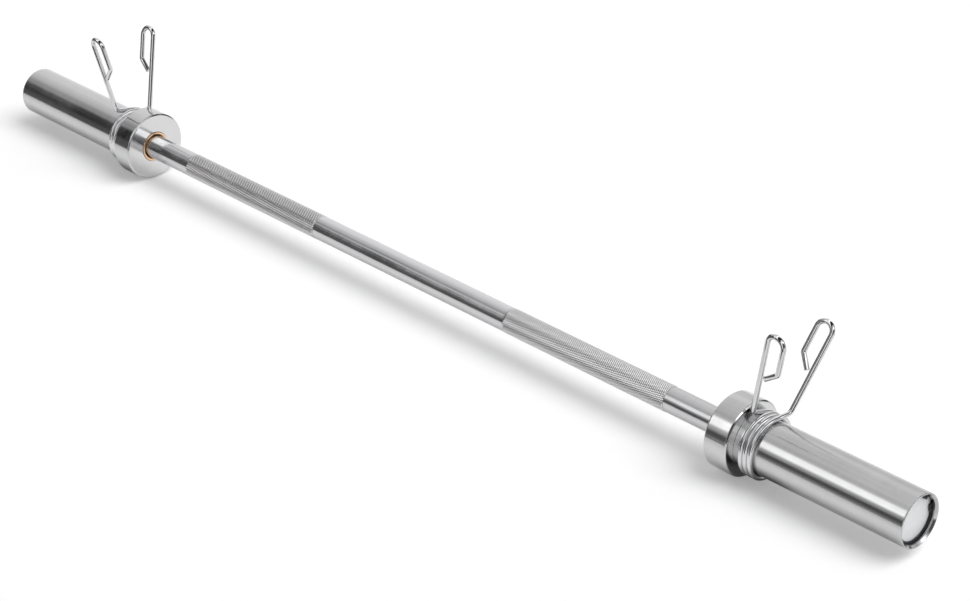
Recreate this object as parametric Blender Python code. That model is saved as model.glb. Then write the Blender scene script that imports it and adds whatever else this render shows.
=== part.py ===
"""A short barbell with 50 mm revolving sleeves and a bare wire spring clip on each sleeve.

The bar lies along X with its middle at the origin and its axis on the X axis. +X is the right end.
The right sleeve group is drawn outwards along +X. The left one is the same group turned half round
about Z. All lengths are in metres.
"""

import math

import bmesh
import bpy
from mathutils import Matrix, Vector

# Bar: driving dimensions, measured outwards from the middle of the bar
HALF_LENGTH = 0.6035
SHAFT_RADIUS = 0.01225
KNURL_RADIUS = 0.0124
KNURL_START = 0.133
KNURL_END = 0.333
KNURL_STEP = 0.0006
COLLAR_START = 0.400
COLLAR_WIDTH = 0.025
COLLAR_RADIUS = 0.0355
COLLAR_CHAMFER = 0.0013
SLEEVE_RADIUS = 0.025
SLEEVE_BORE = 0.0165
SLEEVE_RIM_ROUND = 0.0008

# Clearance between pieces that touch on the real bar, and the running clearance on the shaft
FIT_GAP = 0.0003
RUNNING_GAP = 0.0006
EDGE_BREAK = 0.0005

# Mouth of the sleeve, measured inwards from its rim
MOUTH_RADIUS = 0.022
SNAP_RING_DEPTH = 0.0043
SNAP_RING_THICKNESS = 0.0015
DISC_THICKNESS = 0.0028
SNAP_GROOVE_RADIUS = 0.0231

# Snap ring and circlip outlines
SNAP_RING_WIDTH = 0.0028
SNAP_RING_LUG_DEPTH = 0.0046
SNAP_RING_GAP_HALF = math.radians(15)
SNAP_RING_LUG_ARC = math.radians(22)
SNAP_RING_TURN = math.radians(32)
CIRCLIP_WIDTH = 0.0026
CIRCLIP_LUG_DEPTH = 0.0044
CIRCLIP_GAP_HALF = math.radians(20)
CIRCLIP_LUG_ARC = math.radians(22)
LUG_HOLE_RADIUS = 0.0009

# Journal and outer bearing, inside the sleeve
SHOULDER = 0.5555
JOURNAL_RADIUS = 0.011
JOURNAL_END = 0.590
CIRCLIP_GROOVE_RADIUS = 0.0103
CIRCLIP_THICKNESS = 0.0015
WASHER_THICKNESS = 0.002
WASHER_RADIUS = 0.0156
OUTER_BUSH_LENGTH = 0.021
INNER_BUSH_LENGTH = 0.0308
BUSH_STANDOUT = 0.0008
BUSH_RADIUS = SLEEVE_BORE - FIT_GAP
COLLAR_WEB = 0.005

# Spring clip, a wire bent round an axis that is the bar's own
WIRE_DIAMETER = 0.0046
COIL_PITCH = 0.00505
COIL_POINTS_PER_TURN = 24
FULL_TURNS = 3
HANDLE_SPREAD = math.radians(27.1)
HANDLE_BEND_RADIUS = 0.0339
HANDLE_LEAN = math.radians(14)
HANDLE_TILT = math.radians(10)
HANDLE_LENGTH = 0.076
LOOP_WIDTH = 0.0168
LOOP_RETURN = 0.0252
TAIL_DROP = 0.0115
TAIL_REACH = 0.0117
FOOT_ROUND = 0.0055
TAIL_ROUND = 0.005
LEAST_WIRE_GAP = 0.0004

# Where each clip sits: the coil's middle past the collar, and its turn about the bar from upright
CLIP_PLACE = {"right": (0.0145, math.radians(-11.6)), "left": (0.0112, math.radians(2.5))}

# Facets round each kind of turned piece
BAR_FACETS = 40
SLEEVE_FACETS = 48
BUSH_FACETS = 32

UPRIGHT = math.pi / 2
FULL_CIRCLE = 2 * math.pi
SAME_POINT = 1e-6


def clear_scene():
    for found in list(bpy.data.objects):
        bpy.data.objects.remove(found, do_unlink=True)


def make_material(name, colour, roughness, metallic=1.0):
    """A Principled material with one colour."""
    material = bpy.data.materials.new(name)
    material.use_nodes = True
    shader = material.node_tree.nodes["Principled BSDF"]
    shader.inputs["Base Color"].default_value = (*colour, 1.0)
    shader.inputs["Roughness"].default_value = roughness
    shader.inputs["Metallic"].default_value = metallic
    return material


def add_object(name, data, parent=None, material=None):
    """Links an object for the data, on the parent's axis."""
    made = bpy.data.objects.new(name, data)
    bpy.context.collection.objects.link(made)
    made.parent = parent
    if material and not data.materials:
        data.materials.append(material)
    return made


def add_frame(name, parent=None, along=0.0, about_x=0.0, about_z=0.0):
    """An empty on the bar's axis that carries a group of pieces."""
    frame = bpy.data.objects.new(name, None)
    bpy.context.collection.objects.link(frame)
    frame.parent = parent
    frame.location = (along, 0.0, 0.0)
    frame.rotation_euler = (about_x, 0.0, about_z)
    return frame


def turned_mesh(name, profile, facets, solid=False):
    """Revolves (x, radius) points about X. Radii are to the middle of a facet, and one facet faces down.

    A ring's profile closes on itself. A solid's profile starts and ends on the axis.
    """
    half_step = math.pi / facets
    to_corner = 1.0 / math.cos(half_step)
    start = Matrix.Rotation(-UPRIGHT + half_step, 3, "X")
    shape = bmesh.new()
    corners = [shape.verts.new(start @ Vector((x, radius * to_corner, 0.0))) for x, radius in profile]
    pairs = list(zip(corners, corners[1:]))
    if not solid:
        pairs.append((corners[-1], corners[0]))
    edges = [shape.edges.new(pair) for pair in pairs]
    bmesh.ops.spin(
        shape, geom=corners + edges, cent=(0, 0, 0), axis=(1, 0, 0),
        angle=FULL_CIRCLE, steps=facets, use_merge=True,
    )
    bmesh.ops.remove_doubles(shape, verts=shape.verts, dist=SAME_POINT)
    bmesh.ops.recalc_face_normals(shape, faces=shape.faces)
    mesh = bpy.data.meshes.new(name)
    shape.to_mesh(mesh)
    shape.free()
    mesh.shade_smooth()
    mesh.set_sharp_from_angle(angle=math.radians(30))
    return mesh


def shaft_profile():
    """The bar from end to end: grip bands, shoulders, journals and circlip grooves."""
    groove_start = circlip_start() - FIT_GAP
    groove_end = groove_start + CIRCLIP_THICKNESS + 2 * FIT_GAP
    right = [
        (KNURL_START - KNURL_STEP, SHAFT_RADIUS),
        (KNURL_START, KNURL_RADIUS),
        (KNURL_END, KNURL_RADIUS),
        (KNURL_END + KNURL_STEP, SHAFT_RADIUS),
        (SHOULDER - EDGE_BREAK, SHAFT_RADIUS),
        (SHOULDER, SHAFT_RADIUS - EDGE_BREAK),
        (SHOULDER, JOURNAL_RADIUS),
        (groove_start, JOURNAL_RADIUS),
        (groove_start, CIRCLIP_GROOVE_RADIUS),
        (groove_end, CIRCLIP_GROOVE_RADIUS),
        (groove_end, JOURNAL_RADIUS),
        (JOURNAL_END - EDGE_BREAK, JOURNAL_RADIUS),
        (JOURNAL_END, JOURNAL_RADIUS - EDGE_BREAK),
        (JOURNAL_END, 0.0),
    ]
    left = [(-x, radius) for x, radius in reversed(right)]
    return left + right


def outer_bush_start():
    return SHOULDER + WASHER_THICKNESS + 2 * FIT_GAP


def circlip_start():
    return outer_bush_start() + OUTER_BUSH_LENGTH + WASHER_THICKNESS + 2 * FIT_GAP


def disc_start():
    """The inner face of the end disc, which rests on the floor of the sleeve's mouth."""
    return HALF_LENGTH - SNAP_RING_DEPTH - SNAP_RING_THICKNESS - FIT_GAP - DISC_THICKNESS


def sleeve_profile():
    """A thick tube with a counterbored mouth, a snap ring groove and a rounded rim."""
    start = COLLAR_START + COLLAR_WEB + FIT_GAP
    floor = disc_start() - FIT_GAP
    groove_end = HALF_LENGTH - SNAP_RING_DEPTH + FIT_GAP
    groove_start = groove_end - SNAP_RING_THICKNESS - 2 * FIT_GAP
    rim_centre = (HALF_LENGTH - SLEEVE_RIM_ROUND, SLEEVE_RADIUS - SLEEVE_RIM_ROUND)
    rim = [
        (
            rim_centre[0] + SLEEVE_RIM_ROUND * math.sin(turn),
            rim_centre[1] + SLEEVE_RIM_ROUND * math.cos(turn),
        )
        for turn in (UPRIGHT * step / 3 for step in range(4))
    ]
    mouth = [
        (HALF_LENGTH, MOUTH_RADIUS + EDGE_BREAK),
        (HALF_LENGTH - EDGE_BREAK, MOUTH_RADIUS),
        (groove_end, MOUTH_RADIUS),
        (groove_end, SNAP_GROOVE_RADIUS),
        (groove_start, SNAP_GROOVE_RADIUS),
        (groove_start, MOUTH_RADIUS),
        (floor, MOUTH_RADIUS),
        (floor, SLEEVE_BORE),
    ]
    return [(start, SLEEVE_BORE), (start, SLEEVE_RADIUS)] + rim + mouth


def collar_profile():
    """A chamfered ring with a web that holds the inner bush, and a socket for the sleeve tube."""
    end = COLLAR_START + COLLAR_WIDTH
    socket = SLEEVE_RADIUS + FIT_GAP
    return [
        (COLLAR_START + EDGE_BREAK, SLEEVE_BORE),
        (COLLAR_START, SLEEVE_BORE + EDGE_BREAK),
        (COLLAR_START, COLLAR_RADIUS - COLLAR_CHAMFER),
        (COLLAR_START + COLLAR_CHAMFER, COLLAR_RADIUS),
        (end - COLLAR_CHAMFER, COLLAR_RADIUS),
        (end, COLLAR_RADIUS - COLLAR_CHAMFER),
        (end, socket),
        (COLLAR_START + COLLAR_WEB, socket),
        (COLLAR_START + COLLAR_WEB, SLEEVE_BORE),
    ]


def ring_profile(start, length, bore, radius, edge_break):
    """A plain bush or washer with broken outer edges and a broken bore."""
    end = start + length
    return [
        (start + edge_break, bore),
        (start, bore + edge_break),
        (start, radius - edge_break),
        (start + edge_break, radius),
        (end - edge_break, radius),
        (end, radius - edge_break),
        (end, bore + edge_break),
        (end - edge_break, bore),
    ]


def disc_profile():
    start = disc_start()
    end = start + DISC_THICKNESS
    radius = MOUTH_RADIUS - FIT_GAP
    return [
        (start, 0.0),
        (start, radius),
        (end - EDGE_BREAK, radius),
        (end, radius - EDGE_BREAK),
        (end, 0.0),
    ]


def arc(radius, start, end, steps):
    """Points on a circle about the origin, in the plane of a ring."""
    turns = [start + (end - start) * step / steps for step in range(steps + 1)]
    return [(radius * math.cos(turn), radius * math.sin(turn)) for turn in turns]


def lug_ring_curve(name, rim, body, lug, gap_half, lug_arc, thickness, steps):
    """A flat spring ring with a gap and two drilled lugs, as a filled and extruded curve.

    rim is the radius of the plain edge, body that of the other edge, and lug that of the lugs' ends.
    The gap is centred on the first axis of the ring's plane.
    """
    lug_end = gap_half + lug_arc
    outline = (
        arc(rim, gap_half, FULL_CIRCLE - gap_half, steps)
        + arc(lug, FULL_CIRCLE - gap_half, FULL_CIRCLE - lug_end * 0.86, 3)
        + arc(body, FULL_CIRCLE - lug_end, lug_end, steps - 8)
        + arc(lug, lug_end * 0.86, gap_half, 3)
    )
    hole_at = (rim + lug) / 2 + (lug - rim) * 0.08
    curve = bpy.data.curves.new(name, "CURVE")
    curve.dimensions = "2D"
    curve.fill_mode = "BOTH"
    curve.extrude = thickness / 2
    add_closed_spline(curve, outline)
    for turn in (gap_half + lug_arc * 0.43, -gap_half - lug_arc * 0.43):
        middle = Vector((hole_at * math.cos(turn), hole_at * math.sin(turn)))
        hole = [
            (middle.x + LUG_HOLE_RADIUS * math.cos(step * FULL_CIRCLE / 8),
             middle.y + LUG_HOLE_RADIUS * math.sin(step * FULL_CIRCLE / 8))
            for step in range(8)
        ]
        add_closed_spline(curve, hole)
    return curve


def add_closed_spline(curve, points):
    spline = curve.splines.new("POLY")
    spline.points.add(len(points) - 1)
    for point, (across, up) in zip(spline.points, points):
        point.co = (across, up, 0.0, 1.0)
    spline.use_cyclic_u = True


def wire_curve(name, points, sides_resolution):
    """A round wire along the points, with closed ends."""
    curve = bpy.data.curves.new(name, "CURVE")
    curve.dimensions = "3D"
    curve.bevel_depth = WIRE_DIAMETER / 2
    curve.bevel_resolution = sides_resolution
    curve.use_fill_caps = True
    spline = curve.splines.new("POLY")
    spline.points.add(len(points) - 1)
    for point, place in zip(spline.points, points):
        point.co = (*place, 1.0)
    spline.use_smooth = True
    return curve


def rounded_path(corners, radii, steps_per_right_angle=6):
    """The corners joined by straight runs, with each inner corner turned into an arc of its radius."""
    path = [corners[0]]
    for before, corner, after, radius in zip(corners, corners[1:], corners[2:], radii):
        arriving = (corner - before).normalized()
        leaving = (after - corner).normalized()
        bend = arriving.angle(leaving)
        setback = radius * math.tan(bend / 2)
        inward = (leaving - arriving).normalized()
        centre = corner + inward * radius / math.cos(bend / 2)
        axis = arriving.cross(leaving)
        first = corner - arriving * setback - centre
        steps = max(3, round(steps_per_right_angle * bend / UPRIGHT))
        turned = [centre + Matrix.Rotation(bend * step / steps, 3, axis) @ first for step in range(steps + 1)]
        if (turned[0] - path[-1]).length < SAME_POINT:
            turned.pop(0)
        path += turned
    path.append(corners[-1])
    return path


def coil_radius():
    """Wire centre radius: the wire's inner side clears the sleeve between the coil's own points."""
    sleeve_corner = SLEEVE_RADIUS / math.cos(math.pi / SLEEVE_FACETS)
    inner = sleeve_corner + FIT_GAP + WIRE_DIAMETER / 2
    return inner / math.cos(math.pi / COIL_POINTS_PER_TURN)


def coil_half_angle():
    """Half of the coil's winding, between the two points where the wire leaves it."""
    leave = math.acos(coil_radius() / HANDLE_BEND_RADIUS)
    return math.pi * FULL_TURNS + HANDLE_SPREAD - leave


def coil_point(angle):
    """A point of the winding. The angle is 0 at the coil's middle, which lies under the bar."""
    radius = coil_radius()
    turn = angle - UPRIGHT
    return Vector((-COIL_PITCH * angle / FULL_CIRCLE, radius * math.cos(turn), radius * math.sin(turn)))


def coil_tangent(angle):
    turn = angle - UPRIGHT
    radius = coil_radius()
    step = Vector((-COIL_PITCH / FULL_CIRCLE, -radius * math.sin(turn), radius * math.cos(turn)))
    return step.normalized()


def coil_path():
    """The winding, with a straight run of one wire diameter at each end."""
    half = coil_half_angle()
    steps = round(2 * half / FULL_CIRCLE * COIL_POINTS_PER_TURN)
    winding = [coil_point(-half + 2 * half * step / steps) for step in range(steps + 1)]
    start = winding[0] - coil_tangent(-half) * WIRE_DIAMETER
    end = winding[-1] + coil_tangent(half) * WIRE_DIAMETER
    return [start] + winding + [end]


def handle_path(side):
    """One handle: foot, leg, rounded top, return and tail. side is 1 for the inner one, -1 for the outer."""
    half = coil_half_angle()
    heading = coil_tangent(side * half) * side
    leave = coil_point(side * half)
    foot_run = math.sqrt(HANDLE_BEND_RADIUS ** 2 - coil_radius() ** 2)
    start = leave + heading * (WIRE_DIAMETER + FIT_GAP)
    foot = leave + heading * foot_run
    leg_turn = UPRIGHT + side * (HANDLE_SPREAD - HANDLE_LEAN)
    outward = Vector((1.0, 0.0, 0.0))
    radial = Vector((0.0, math.cos(leg_turn), math.sin(leg_turn)))
    up = radial * math.cos(HANDLE_TILT) + outward * math.sin(HANDLE_TILT)
    across = (outward * math.cos(HANDLE_TILT) - radial * math.sin(HANDLE_TILT)) * side
    leg_top = foot + up * (HANDLE_LENGTH + LOOP_WIDTH / 2)
    loop_top = leg_top + across * LOOP_WIDTH
    low = loop_top - up * (LOOP_WIDTH / 2 + LOOP_RETURN)
    tail = low - up * TAIL_DROP - across * TAIL_REACH
    corners = [start, foot, leg_top, loop_top, low, tail]
    return rounded_path(corners, [FOOT_ROUND, LOOP_WIDTH / 2, LOOP_WIDTH / 2, TAIL_ROUND])


def least_gap(path):
    """The least distance between turns of one wire, measured between its runs, less the wire's diameter."""
    spare = 2.5 * WIRE_DIAMETER
    travelled = [0.0]
    for before, after in zip(path, path[1:]):
        travelled.append(travelled[-1] + (after - before).length)
    least = math.inf
    for first, point in enumerate(path):
        for second in range(len(path) - 1):
            if min(abs(travelled[second] - travelled[first]), abs(travelled[second + 1] - travelled[first])) < spare:
                continue
            run = path[second + 1] - path[second]
            along = (point - path[second]).dot(run) / run.length_squared
            nearest = path[second] + run * min(max(along, 0.0), 1.0)
            least = min(least, (point - nearest).length)
    return least - WIRE_DIAMETER


def report_wire_gap():
    """Prints the least gap of the whole bent wire, from one handle's tail to the other's."""
    whole = list(reversed(handle_path(-1))) + coil_path() + handle_path(1)
    gap = least_gap(whole)
    print(f"spring clip: least gap between turns {gap * 1000:.2f} mm")
    if gap <= LEAST_WIRE_GAP:
        raise ValueError("the clip's turns are too close")


def make_finishes():
    return {
        "grip chrome": make_material("grip chrome", (0.62, 0.62, 0.64), 0.22),
        "sleeve chrome": make_material("sleeve chrome", (0.66, 0.66, 0.67), 0.20),
        "collar chrome": make_material("collar chrome", (0.68, 0.68, 0.69), 0.18),
        "bronze": make_material("bronze", (0.72, 0.47, 0.26), 0.35),
        "washer steel": make_material("washer steel", (0.50, 0.50, 0.52), 0.40),
        "ring steel": make_material("ring steel", (0.03, 0.03, 0.035), 0.45),
        "end plate": make_material("end plate", (0.74, 0.75, 0.77), 0.45),
        "spring wire": make_material("spring wire", (0.70, 0.70, 0.72), 0.15),
    }


def make_bearing_meshes():
    """Bushes and washers, with the radii that their seats give them."""
    journal_bore = JOURNAL_RADIUS + RUNNING_GAP
    washer_one = SHOULDER + FIT_GAP
    washer_two = outer_bush_start() + OUTER_BUSH_LENGTH + FIT_GAP
    return {
        "inner_bush": turned_mesh("inner bush", ring_profile(
            COLLAR_START - BUSH_STANDOUT, INNER_BUSH_LENGTH, SHAFT_RADIUS + RUNNING_GAP, BUSH_RADIUS,
            EDGE_BREAK), BUSH_FACETS),
        "outer_bush": turned_mesh("outer bush", ring_profile(
            outer_bush_start(), OUTER_BUSH_LENGTH, journal_bore, BUSH_RADIUS, EDGE_BREAK), BUSH_FACETS),
        "inner_thrust_washer": turned_mesh("inner washer", ring_profile(
            washer_one, WASHER_THICKNESS, journal_bore, WASHER_RADIUS, EDGE_BREAK / 2), BUSH_FACETS),
        "outer_thrust_washer": turned_mesh("outer washer", ring_profile(
            washer_two, WASHER_THICKNESS, journal_bore, WASHER_RADIUS, EDGE_BREAK / 2), BUSH_FACETS),
    }


def make_ring_curves():
    circlip = lug_ring_curve(
        "shaft circlip", CIRCLIP_GROOVE_RADIUS + FIT_GAP, CIRCLIP_GROOVE_RADIUS + FIT_GAP + CIRCLIP_WIDTH,
        CIRCLIP_GROOVE_RADIUS + FIT_GAP + CIRCLIP_LUG_DEPTH, CIRCLIP_GAP_HALF, CIRCLIP_LUG_ARC,
        CIRCLIP_THICKNESS, 28)
    snap_rim = SNAP_GROOVE_RADIUS - FIT_GAP
    snap_ring = lug_ring_curve(
        "end snap ring", snap_rim, snap_rim - SNAP_RING_WIDTH, snap_rim - SNAP_RING_LUG_DEPTH,
        SNAP_RING_GAP_HALF, SNAP_RING_LUG_ARC, SNAP_RING_THICKNESS, 36)
    return circlip, snap_ring


def add_flat_ring(name, curve, parent, material, middle, gap_turn):
    """Stands a ring square on the bar's axis, with its gap turned from +Y towards +Z."""
    ring = add_object(name, curve, parent, material)
    ring.location = (middle, 0.0, 0.0)
    stand = Matrix(((0, 0, 1), (1, 0, 0), (0, 1, 0)))
    ring.rotation_euler = (Matrix.Rotation(gap_turn, 3, "X") @ stand).to_euler()
    return ring


def build_sleeve_group(side, frame, meshes, curves, finishes):
    """The pieces that make up one end of the bar, apart from its clip."""
    circlip, snap_ring = curves
    add_object(f"{side}_sleeve_tube", meshes["sleeve_tube"], frame, finishes["sleeve chrome"])
    add_object(f"{side}_collar_ring", meshes["collar_ring"], frame, finishes["collar chrome"])
    add_object(f"{side}_end_disc", meshes["end_disc"], frame, finishes["end plate"])
    for bush in ("inner_bush", "outer_bush"):
        add_object(f"{side}_{bush}", meshes[bush], frame, finishes["bronze"])
    for washer in ("inner_thrust_washer", "outer_thrust_washer"):
        add_object(f"{side}_{washer}", meshes[washer], frame, finishes["washer steel"])
    add_flat_ring(f"{side}_shaft_circlip", circlip, frame, finishes["ring steel"],
                  circlip_start() + CIRCLIP_THICKNESS / 2, UPRIGHT)
    add_flat_ring(f"{side}_end_snap_ring", snap_ring, frame, finishes["ring steel"],
                  HALF_LENGTH - SNAP_RING_DEPTH - SNAP_RING_THICKNESS / 2, SNAP_RING_TURN)


def build_clip(side, sleeve_frame, wires, finishes):
    """One spring clip on its sleeve: the coil, and a handle at each of its ends."""
    past_collar, roll = CLIP_PLACE[side]
    frame = add_frame(f"{side} clip frame", sleeve_frame, COLLAR_START + COLLAR_WIDTH + past_collar, about_x=roll)
    for piece, curve in wires.items():
        add_object(f"{side}_clip_{piece}", curve, frame, finishes["spring wire"])


def build():
    clear_scene()
    finishes = make_finishes()
    shaft = turned_mesh("shaft", shaft_profile(), BAR_FACETS, solid=True)
    add_object("shaft", shaft, None, finishes["grip chrome"])
    meshes = make_bearing_meshes()
    meshes["sleeve_tube"] = turned_mesh("sleeve tube", sleeve_profile(), SLEEVE_FACETS)
    meshes["collar_ring"] = turned_mesh("collar ring", collar_profile(), SLEEVE_FACETS)
    meshes["end_disc"] = turned_mesh("end disc", disc_profile(), SLEEVE_FACETS, solid=True)
    curves = make_ring_curves()
    wires = {
        "coil": wire_curve("clip coil", coil_path(), 1),
        "inner_handle": wire_curve("clip inner handle", handle_path(1), 2),
        "outer_handle": wire_curve("clip outer handle", handle_path(-1), 2),
    }
    report_wire_gap()
    for side, turn in (("right", 0.0), ("left", math.pi)):
        frame = add_frame(f"{side} sleeve frame", about_z=turn)
        build_sleeve_group(side, frame, meshes, curves, finishes)
        build_clip(side, frame, wires, finishes)


build()
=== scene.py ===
"""Looks for a short barbell with revolving sleeves and a wire spring clip on each sleeve.

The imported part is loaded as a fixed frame, and finer pieces are built round it. All lengths are in
metres and every place is in the part's own frame: X runs along the bar, its axis is at y = z = 0, and
the bar's middle is at the origin. Each end of the bar is drawn outwards along +X, and the left end is
then turned half round about Z.
"""

import logging
import math
from dataclasses import dataclass, field
from enum import Enum
from typing import Iterable, Sequence

import bmesh
import bpy
from mathutils import Matrix, Vector


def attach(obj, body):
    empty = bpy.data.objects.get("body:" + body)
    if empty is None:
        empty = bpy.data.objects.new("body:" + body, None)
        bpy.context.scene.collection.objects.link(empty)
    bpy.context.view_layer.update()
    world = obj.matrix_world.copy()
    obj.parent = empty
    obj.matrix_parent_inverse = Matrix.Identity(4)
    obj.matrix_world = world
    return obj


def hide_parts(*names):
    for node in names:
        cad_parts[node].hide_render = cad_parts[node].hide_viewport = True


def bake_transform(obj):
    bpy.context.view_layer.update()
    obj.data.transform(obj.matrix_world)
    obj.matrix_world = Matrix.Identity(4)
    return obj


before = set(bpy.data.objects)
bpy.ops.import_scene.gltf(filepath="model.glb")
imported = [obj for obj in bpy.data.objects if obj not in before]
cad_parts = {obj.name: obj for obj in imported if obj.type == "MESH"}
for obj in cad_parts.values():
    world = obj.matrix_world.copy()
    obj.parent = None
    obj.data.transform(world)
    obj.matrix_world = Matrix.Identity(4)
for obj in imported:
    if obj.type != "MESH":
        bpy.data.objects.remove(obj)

LOG = logging.getLogger("barbell")
Point = tuple[float, float]
Socket = bpy.types.NodeSocket
Value = float | Socket

TURN = 2 * math.pi
QUARTER = math.pi / 2
SAME_PLACE = 1e-6
NOISE_RANGE = (0.3, 0.7)
SMUDGE_RANGE = (0.25, 0.75)
LEFT_OF_ALL, RIGHT_OF_ALL = -2.0, 2.0
WHITE = (1.0, 1.0, 1.0, 1.0)


class End(Enum):
    """The two ends of the bar, with the sign of X on which each lies."""

    RIGHT = 1
    LEFT = -1

    @property
    def label(self) -> str:
        """The word that starts the names of this end's pieces."""
        return self.name.lower()

    @property
    def place(self) -> Matrix:
        """The turn that takes a piece drawn along +X to this end."""
        return Matrix.Identity(4) if self is End.RIGHT else Matrix.Rotation(math.pi, 4, "Z")


@dataclass(frozen=True)
class Span:
    """A range with soft ends. Each end fades from one softness before it to one softness after it."""

    start: float
    end: float
    soft: float = 0.03


class Sketch:
    """A node tree with short ways to add nodes and join them."""

    def __init__(self, tree: bpy.types.NodeTree) -> None:
        """Starts from an empty tree.

        Args:
            tree: The material's or the world's node tree.
        """
        self.tree = tree
        tree.nodes.clear()

    def add(self, kind: str, inputs: dict | None = None, **settings: object) -> bpy.types.Node:
        """Adds a node.

        Args:
            kind: The node's type, without the words ShaderNode.
            inputs: Input names or numbers, each with a value or with the output that feeds it.
            **settings: Properties of the node itself.

        Returns:
            The new node.
        """
        made = self.tree.nodes.new("ShaderNode" + kind)
        for name, value in settings.items():
            setattr(made, name, value)
        for name, value in (inputs or {}).items():
            if isinstance(value, Socket):
                self.tree.links.new(value, made.inputs[name])
            else:
                made.inputs[name].default_value = value
        return made

    def calc(self, operation: str, first: Value, second: Value = 0.0, third: Value = 0.0) -> Socket:
        """One step of arithmetic.

        Args:
            operation: The Math node's operation.
            first: A number or an output.
            second: A number or an output.
            third: A number or an output, for the operations that take three.

        Returns:
            The result.
        """
        return self.add("Math", {0: first, 1: second, 2: third}, operation=operation).outputs[0]

    def product(self, result: Value, *factors: Value) -> Value:
        """Multiplies two or more values.

        Args:
            result: The first factor.
            *factors: The others.

        Returns:
            Their product.
        """
        for factor in factors:
            result = self.calc("MULTIPLY", result, factor)
        return result

    def ramp(
        self, value: Value, low: float, high: float, at_low: float = 0.0, at_high: float = 1.0
    ) -> Socket:
        """A smooth rise of a value between two limits.

        Args:
            value: The output that is read.
            low: Where the rise starts.
            high: Where it ends.
            at_low: The result up to the start.
            at_high: The result from the end.

        Returns:
            The result.
        """
        limits = {0: value, 1: low, 2: high, 3: at_low, 4: at_high}
        return self.add("MapRange", limits, interpolation_type="SMOOTHSTEP").outputs[0]

    def within(self, value: Value, span: Span) -> Socket:
        """Tells how far a value is inside a span.

        Args:
            value: The output that is read.
            span: The span.

        Returns:
            1 well inside the span and 0 well outside it.
        """
        rise = self.ramp(value, span.start - span.soft, span.start + span.soft)
        fall = self.ramp(value, span.end - span.soft, span.end + span.soft, 1.0, 0.0)
        return self.product(rise, fall)

    def noise(self, place: Socket, size: float, detail: float, roughness: float) -> Socket:
        """Cloudy noise between 0 and 1.

        Args:
            place: The coordinates that it reads.
            size: How wide its largest clouds are.
            detail: How many finer layers lie over them.
            roughness: How strong the finer layers are.

        Returns:
            The noise.
        """
        clouds = {"Vector": place, "Scale": 1 / size, "Detail": detail, "Roughness": roughness}
        return self.add("TexNoise", clouds).outputs["Fac"]


def put_in_scene(name: str, data: bpy.types.ID) -> bpy.types.Object:
    """Makes an object at the origin and links it to the scene.

    Args:
        name: The object's name.
        data: Its mesh, curve, lamp or camera.

    Returns:
        The object.
    """
    made = bpy.data.objects.new(name, data)
    bpy.context.collection.objects.link(made)
    return made


def mesh_of(shape: bmesh.types.BMesh, name: str) -> bpy.types.Mesh:
    """Writes a shape into a new mesh.

    Args:
        shape: The shape, which is used up.
        name: The mesh's name.

    Returns:
        The mesh.
    """
    mesh = bpy.data.meshes.new(name)
    shape.to_mesh(mesh)
    shape.free()
    return mesh


@dataclass
class Surface:
    """A metal surface in the making: its node tree, its coordinates and what its patterns add up to.

    Each of the heights has a depth in metres.
    """

    sketch: Sketch
    place: Socket
    tone: Value = 1.0
    rough: Value = 0.0
    heights: list[tuple[Socket, float]] = field(default_factory=list)


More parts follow.
